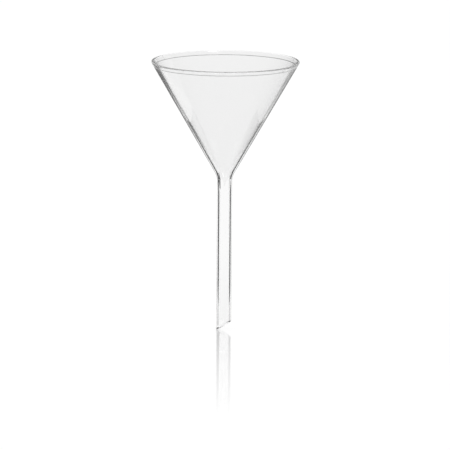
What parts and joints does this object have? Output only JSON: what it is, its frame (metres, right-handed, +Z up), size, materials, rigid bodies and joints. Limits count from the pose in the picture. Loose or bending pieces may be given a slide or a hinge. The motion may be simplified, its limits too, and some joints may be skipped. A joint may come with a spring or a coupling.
{
  "type": "glass funnel",
  "caption": "Clear glass laboratory funnel: a 60 degree cone with a rounded rim, drawn into a straight narrow stem with a slanted end, for filtering and pouring.",
  "frame": {"origin": "on the funnel's axis, level with the lowest point of the stem's slanted end, so the funnel stands on z = 0", "axes": "+Z up along the axis, out of the mouth; the slanted end is longest at -X and shortest at +X"},
  "size_m": [0.1, 0.1, 0.1832],
  "materials": {
    "clear_glass": "clear colourless borosilicate glass, fire-polished, glossy inside and out"
  },
  "bodies": {
    "root": {"rim_bead": "clear_glass", "cone": "clear_glass", "neck": "clear_glass", "stem": "clear_glass", "stem_tip": "clear_glass"}
  },
  "joints": []
}
